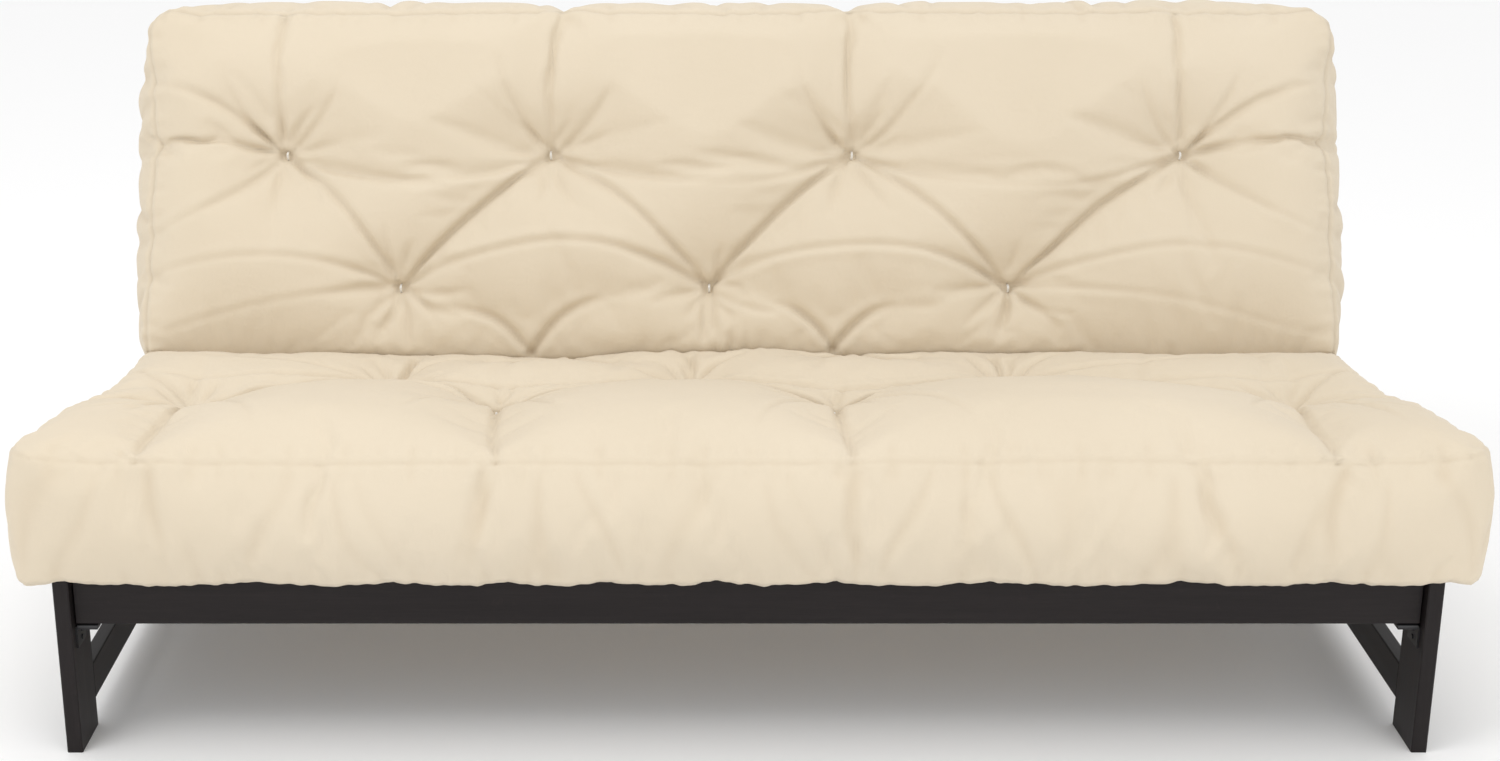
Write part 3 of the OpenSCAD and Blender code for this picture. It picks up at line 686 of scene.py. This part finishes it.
def pinned_shape(side, x, u, h, ijk, shape, tufts, lines):
    """The start of the simulation: tufts drawn in and creases begun. Gives h and the pinned
    vertices."""
    k = ijk[:, 2]
    upper, lower = k == shape[2], k == 0
    start = h.copy()
    knots = []
    for tuft_side, tx, tu in tufts:
        far = np.where(side == tuft_side, np.hypot(x - tx, u - tu), FAR_OFF)
        pull = np.clip(1 - far / DIMPLE_REACH, 0, 1) ** 1.9
        start -= np.where(upper, DIMPLE[tuft_side] * pull, 0)
        start += np.where(lower, UNDER_DIMPLE * bell(far, UNDER_REACH), 0)
        knots += [int(np.argmin(np.where(panel, far, FAR_OFF))) for panel in (upper, lower)]
    held, begun = np.zeros(len(x), bool), np.zeros(len(x))
    for line in lines:
        close = np.flatnonzero(upper & (side == line.side))
        far, t = line.measure(x[close], u[close])
        begun[close] = np.maximum(begun[close], BEGUN_DEPTH * line.depth(t) * bell(far, BEGUN_REACH))
        if line.held:
            on = (np.abs(far) < 0.52 * STEP) & (t > 0) & (t < 1)
            held[close[on]] = True
    start -= begun
    p, q = fold_pq(u, h)
    in_fold = upper & (q < CREASE_MOUTH - 0.004) & (p < 0.01)
    on_deck = lower & (np.abs(x) < FRAME_HALF - 0.03) & (u < LENGTHS[side] - 0.05)
    overhangs = lower & (side == 0) & (u > LEG_FRONT_U + 0.002)
    hem = np.where(overhangs, LENGTHS[side] - EDGE_TUCK - u, FAR_OFF)
    start -= HEM_SAG * bell(hem, HEM_REACH)
    pinned = on_deck | in_fold | held | ((hem < 0.002) & (np.abs(x) < WIDE - 0.06))
    pinned[knots] = True
    return start, pinned


def mesh_object(name, points, faces):
    """points is an array, and faces is a list of the points' numbers round each face."""
    mesh = bpy.data.meshes.new(name)
    mesh.from_pydata(points.tolist(), [], faces)
    mesh.update()
    made = bpy.data.objects.new(name, mesh)
    bpy.context.scene.collection.objects.link(made)
    return made


def finish_piece(piece, material):
    piece.data.materials.append(material)
    for polygon in piece.data.polygons:
        polygon.use_smooth = True


PRESSURE = 10.0
SIM_FRAMES = 24


def inflate(flat, start, faces, pinned):
    """Blows the cover up as cloth, held at the pinned vertices. Gives the new places."""
    cover = mesh_object("cover_cloth", start, faces.tolist())
    cover.shape_key_add(name="Basis")
    cut = cover.shape_key_add(name="cut")
    cut.data.foreach_set("co", flat.ravel())
    group = cover.vertex_groups.new(name="held")
    group.add(np.flatnonzero(pinned).tolist(), 1.0, "REPLACE")
    cloth = cover.modifiers.new("cloth", "CLOTH")
    cloth.point_cache.frame_start, cloth.point_cache.frame_end = 1, SIM_FRAMES
    values = cloth.settings
    values.quality = 6
    values.mass = 0.25
    values.air_damping = 2.0
    values.tension_stiffness = values.compression_stiffness = 28
    values.shear_stiffness = 8
    values.bending_stiffness = 0.2
    values.tension_damping = values.compression_damping = values.shear_damping = 6
    values.bending_damping = 0.5
    values.effector_weights.gravity = 0
    values.use_pressure = True
    values.uniform_pressure_force = PRESSURE
    values.shrink_min = -0.02
    values.vertex_group_mass = "held"
    values.rest_shape_key = cut
    cloth.collision_settings.use_collision = False
    scene = bpy.context.scene
    for number in range(1, SIM_FRAMES + 1):
        scene.frame_set(number)
    blown = cover.evaluated_get(bpy.context.evaluated_depsgraph_get())
    places = np.empty(len(flat) * 3, np.float32)
    blown.data.vertices.foreach_get("co", places)
    scene.frame_set(1)
    bpy.data.objects.remove(cover)
    return places.reshape(-1, 3).astype(float)


MOST_SWELL = 0.040      # furthest a point may move from the start
HANG = 0.022            # furthest the overhanging edge hangs below the deck's top
DECK_GAP = 0.0008       # least gap to the decks
FOLD_GAP = 0.0006       # and to the fold's plane
FRAME_MARGIN = 0.004    # the frame's outline is taken this much larger


def keep_clear(side, points, pinned=None):
    """Keeps the mattress off the decks, the frame and its other half."""
    x, u, h = from_world(side, points)
    over_frame = (np.abs(x) < FRAME_HALF + FRAME_MARGIN) & ((side > 0) | (u < LEG_FRONT_U + FRAME_MARGIN))
    h = np.maximum(h, np.where(over_frame, HINGE_DROP + DECK_GAP, HINGE_DROP - HANG))
    p, q = fold_pq(u, h)
    low = FOLD_GAP if pinned is None else np.where(pinned, p, FOLD_GAP)
    u, h = fold_uh(np.maximum(p, low), q)
    return to_world(side, x, u, h)


def settle(side, points, start, pinned):
    """Caps how far each point moved from the start."""
    move = points - start
    far = np.linalg.norm(move, axis=1, keepdims=True)
    points = start + move * np.minimum(1, MOST_SWELL / np.maximum(far, 1e-9))
    return keep_clear(side, points, pinned)


def refine(points, faces, marks):
    """One smooth subdivision. marks has a row of three numbers for each vertex, and the finer mesh
    gets its own rows of them. Gives points, normals, marks and faces."""
    rough = mesh_object("rough", points, faces.tolist())
    layer = rough.data.attributes.new("marks", "FLOAT_VECTOR", "POINT")
    layer.data.foreach_set("vector", marks.astype(np.float32).ravel())
    smooth = rough.modifiers.new("smooth", "SUBSURF")
    smooth.levels = 1
    fine = rough.evaluated_get(bpy.context.evaluated_depsgraph_get()).data
    count = len(fine.vertices)
    rows = [np.empty(count * 3, np.float32) for _ in range(3)]
    fine.vertices.foreach_get("co", rows[0])
    fine.vertex_normals.foreach_get("vector", rows[1])
    fine.attributes["marks"].data.foreach_get("vector", rows[2])
    corners = np.empty(len(fine.polygons) * 4, np.int32)
    fine.loops.foreach_get("vertex_index", corners)
    bpy.data.objects.remove(rough)
    return [r.reshape(-1, 3).astype(float) for r in rows] + [corners.reshape(-1, 4)]


def groove(far, width, lean):
    """Height across a crease: a sharp valley with a ridge beside it on the side it leans to."""
    return -bell(far, width) + 0.55 * bell(far - 2.1 * lean * width, 1.7 * width) \
        + 0.15 * bell(far + 2.2 * lean * width, 1.6 * width)


CREASE_DEPTH = 0.0068
CREASE_WIDTH = 0.0049
SMOOTH_ROUND_TUFT = 0.012        # fine creases fade out this near to a tuft


def crease_height(side, x, u, upper, lines, tufts):
    """Fine creases of the upper panels, as heights along the surface's normal."""
    height = np.zeros(len(x))
    for line in lines:
        low, high = line.curve.min(axis=0) - 0.05, line.curve.max(axis=0) + 0.05
        near = np.flatnonzero(upper & (side == line.side) & (x > low[0]) & (x < high[0])
                              & (u > low[1]) & (u < high[1]))
        far, t = line.measure(x[near], u[near])
        open_end = np.where((t <= 0) | (t >= 1), bell(far, CREASE_WIDTH), 1.0)
        height[near] += CREASE_DEPTH * line.depth(t) * groove(far, CREASE_WIDTH, line.lean) * open_end
    for tuft_side, tx, tu in tufts:
        near = bell(np.hypot(x - tx, u - tu), SMOOTH_ROUND_TUFT)
        height *= 1 - np.where(side == tuft_side, near, 0)
    return np.clip(height, -1.2 * CREASE_DEPTH, 0.8 * CREASE_DEPTH)


def pinches(run, dice, spacing, depth, width):
    """Inward folds at uneven intervals along run, as heights."""
    height = np.zeros(len(run))
    place = run.min()
    while place < run.max():
        amount, broad, tilt = dice.uniform(0.3, 1.0), dice.uniform(0.7, 1.4), dice.uniform(-1, 1)
        far = run - place
        height -= depth * amount * (bell(far, width * broad)
                                    - 0.45 * bell(far - 2.2 * width * broad * np.sign(tilt), 1.8 * width))
        place += spacing * dice.uniform(0.5, 1.5)
    return height


SEAM_DEPTH = np.array([0.0018, 0.0030])    # seat and back
SEAM_WIDTH = 0.0035
PUCKERS = ((0.021, 0.0006), (0.034, 0.0007), (0.055, 0.0009))    # pitch and height, along a seam
# folds of the border: spacing, depth and width
FRONT_FOLDS = ((0.085, 0.0040, 0.010), (0.070, 0.0045, 0.013))   # seat and back
FLANK_FOLDS = (0.058, 0.0060, 0.012)
FALL_DEPTH = 0.0048                        # creases below the seat's front tufts
FALL_WIDTH = 0.010


def border_height(side, x, u, rise, tufts):
    """Seams and gathered folds of the boxed border, as heights along the surface's normal."""
    dice = np.random.default_rng(5)
    reach = LENGTHS[side] - EDGE_TUCK - u
    beside = half_width(side, u, rise) - np.abs(x)
    panel_gap = np.minimum(reach, beside)
    upper, lower = rise > 0.999, rise < 0.001
    to_top = np.where(upper, panel_gap, np.where(lower, FAR_OFF, (1 - rise) * GUSSET))
    to_bottom = np.where(lower, panel_gap, np.where(upper, FAR_OFF, rise * GUSSET))
    along = np.where(beside < reach, u * np.where(side > 0, 1, -1) + 3.0 * np.sign(x), x)
    height = np.zeros(len(x))
    for gap in (to_top, to_bottom):
        height += SEAM_DEPTH[side] * (-bell(gap, SEAM_WIDTH) + 0.35 * bell(gap - 0.0095, 0.005))
        for pitch, amount in PUCKERS:
            ripple = np.sin(2 * math.pi * along / pitch + 3 * np.sin(along * 17 + pitch * 900))
            height += amount * ripple * bell(gap - 0.012, 0.014)
    border = ~upper & ~lower
    front = border & (reach < 0.02)
    flank = border & ~front
    tall = np.sqrt(np.sin(math.pi * np.clip(rise, 0, 1)))
    for rows, folds in ((front & (side == 0), FRONT_FOLDS[0]), (front & (side == 1), FRONT_FOLDS[1]),
                        (flank & (x < 0), FLANK_FOLDS), (flank & (x > 0), FLANK_FOLDS)):
        slant = along[rows] + 0.10 * (rise[rows] - 0.5) * np.sin(along[rows] * 23)
        height[rows] += pinches(slant, dice, *folds) * tall[rows]
    for tuft_side, tx, tu in tufts:          # the creases of the seat's front tufts run on down
        if tuft_side == 0 and tu > 0.5 * SEAT_LEN:
            swerve = tx + 0.03 * dice.uniform(-1, 1) * (1 - rise) + 0.006 * np.sin(rise * 7 + tx * 9)
            fall = np.where(front & (side == 0), tall * smooth_step(rise / 0.6), 0)
            aside = x - swerve
            height -= FALL_DEPTH * fall * (bell(aside, FALL_WIDTH) - 0.6 * bell(aside - 0.020, 0.014))
    return height


HEM_BAY = 0.175          # length of a scallop
HEM_DROP = 0.002
HEM_SCALLOP = 0.0075


def hanging_hem(side, x, u, rise):
    """How far the seat's overhanging lower edge drops, in scallops between its notches."""
    near_edge = bell((LENGTHS[side] - EDGE_TUCK) - u, 0.030) * np.where(side == 0, 1.0, 0.0)
    low = 1 - smooth_step(rise / 0.35)
    bay = np.abs(np.sin(math.pi * (x / HEM_BAY + 0.35 * np.sin(x * 5 + 1)))) ** 0.6
    return near_edge * low * (HEM_DROP + HEM_SCALLOP * (bay - 0.5))


GATHER = 0.0026
GATHER_PITCH = 0.031
GATHER_U = 0.125                 # gathers fade out past this far along u
GATHERED = ((-0.03, 0.15, 1.0), (0.62, 0.07, 0.6), (-0.5, 0.06, 0.5))    # middle, half-length, share


def fold_gathers(side, x, u, upper):
    """Small gathers in some stretches of the line where the two halves meet."""
    reach = 0.014 + 0.009 * np.sin(x * 43 + side * 2.1)
    near_fold = bell(np.maximum(u - GATHER_U, 0), reach) * smooth_step((u - 0.098) / 0.016)
    stretch = sum(share * bell(x - middle, half) for middle, half, share in GATHERED)
    uneven = 0.55 + 0.45 * np.sin(x * 57 + 1.3 + side)
    ripple = np.sin(2 * math.pi * x / GATHER_PITCH + 3.1 * np.sin(x * 23) + side * 2.5)
    return np.where(upper, near_fold * stretch * GATHER * uneven * ripple, 0)


FOLD_SWAY = 0.0055
SWAYS = ((5.3, 1.0, 1.0), (12.7, 2.0, 0.6), (29, 0.0, 0.35))     # radians per metre, phase, share


def sway_fold(side, points):
    """Lets the line where the two halves meet wander up and down."""
    x, u, h = from_world(side, points)
    p, q = fold_pq(u, h)
    near = bell(p, 0.055) * bell(np.maximum(CREASE_MOUTH - q, 0), 0.04)
    wander = FOLD_SWAY * sum(share * np.sin(x * rate + phase) for rate, phase, share in SWAYS)
    u, h = fold_uh(p, q + wander * near)
    return to_world(side, x, u, h)


def make_mattress(material):
    """Gives what the stitches need: the tufts, and each vertex's side, x, u, rise and place."""
    ijk, shape, side, x, u, h, faces = lattice()
    tufts = tuft_points()
    lines = creases(tufts)
    start_h, pinned = pinned_shape(side, x, u, h, ijk, shape, tufts, lines)
    flat, start = to_world(side, x, u, h), to_world(side, x, u, start_h)
    points = inflate(flat, start, faces, pinned)
    points = settle(side, points, start, pinned)
    signed_u = np.where(side > 0, u, -u)     # so that one number keeps the side as well
    marks = np.stack([x, signed_u, ijk[:, 2] / shape[2]], axis=1)
    points, normals, marks, faces = refine(points, faces, marks)
    x, u, rise = marks[:, 0], np.abs(marks[:, 1]), marks[:, 2]
    side = (marks[:, 1] > 0).astype(int)
    upper = rise > 0.999
    height = crease_height(side, x, u, upper, lines, tufts)
    height += border_height(side, x, u, rise, tufts)
    height += fold_gathers(side, x, u, upper)
    points = points + normals * height[:, None]
    # how deep each point sits in a crease, which drives the cloth's painted crease shade
    fold = np.clip(-height / CREASE_DEPTH, 0, 1)
    points[:, 2] -= hanging_hem(side, x, u, rise)
    points = keep_clear(side, sway_fold(side, points))
    mattress = mesh_object("mattress", points, faces.tolist())
    mattress.data.attributes.new("fold", "FLOAT", "POINT").data.foreach_set("value", fold)
    finish_piece(mattress, material)
    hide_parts(*[f"{half}_{part}" for half in ("seat", "back")
                            for part in ("mattress_cover", "foam_core", "cotton_batting", "tufts")])
    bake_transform(mattress)
    return tufts, side, x, u, rise, points


STITCH_LENGTH = 0.013
STITCH_RADIUS = 0.0017
STITCH_RISE = 0.0085
STITCH_LIFT = 0.0020
STITCH_STEPS = 8
STITCH_SIDES = 8


def stitch_tube(half, x, u, h, up):
    """Points and faces of one loop of twine along u, which arches up (1) or down (-1) from (x, u, h)."""
    points, faces = [], []
    for n in range(STITCH_STEPS + 1):
        t = n / STITCH_STEPS
        ring_u = u + STITCH_LENGTH * (t - 0.5)
        ring_h = h + up * (STITCH_RISE * math.sin(math.pi * t) + STITCH_LIFT)
        for angle in np.linspace(0, 2 * math.pi, STITCH_SIDES, endpoint=False):
            points.append(to_world(half, x + STITCH_RADIUS * math.cos(angle), ring_u,
                                   ring_h + STITCH_RADIUS * math.sin(angle)))
    for first in range(0, STITCH_STEPS * STITCH_SIDES, STITCH_SIDES):
        for m in range(STITCH_SIDES):
            a, b = first + m, first + (m + 1) % STITCH_SIDES
            faces.append((a, b, b + STITCH_SIDES, a + STITCH_SIDES))
    faces.append(tuple(reversed(range(STITCH_SIDES))))
    faces.append(tuple(range(STITCH_STEPS * STITCH_SIDES, (STITCH_STEPS + 1) * STITCH_SIDES)))
    return points, faces


def make_stitches(material, tufts, side, x, u, rise, places):
    """Loops of white twine over the tufts, on both faces of the mattress."""
    for half, (body, name) in enumerate((("seat_deck", "seat_stitches"), ("back_deck", "back_stitches"))):
        points, faces = [], []
        for _, tx, tu in (tuft for tuft in tufts if tuft[0] == half):
            for panel, up in ((rise > 0.999, 1), (rise < 0.001, -1)):
                far = np.where((side == half) & panel, np.hypot(x - tx, u - tu), FAR_OFF)
                own = (float(v) for v in from_world(half, places[np.argmin(far)]))
                tube_points, tube_faces = stitch_tube(half, *own, up)
                faces += [tuple(v + len(points) for v in face) for face in tube_faces]
                points += tube_points
        stitches = mesh_object(name, np.array(points), faces)
        finish_piece(stitches, material)
        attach(stitches, body)


make_camera()
make_stage()
dress_frame()
make_stitches(twine(), *make_mattress(twill()))
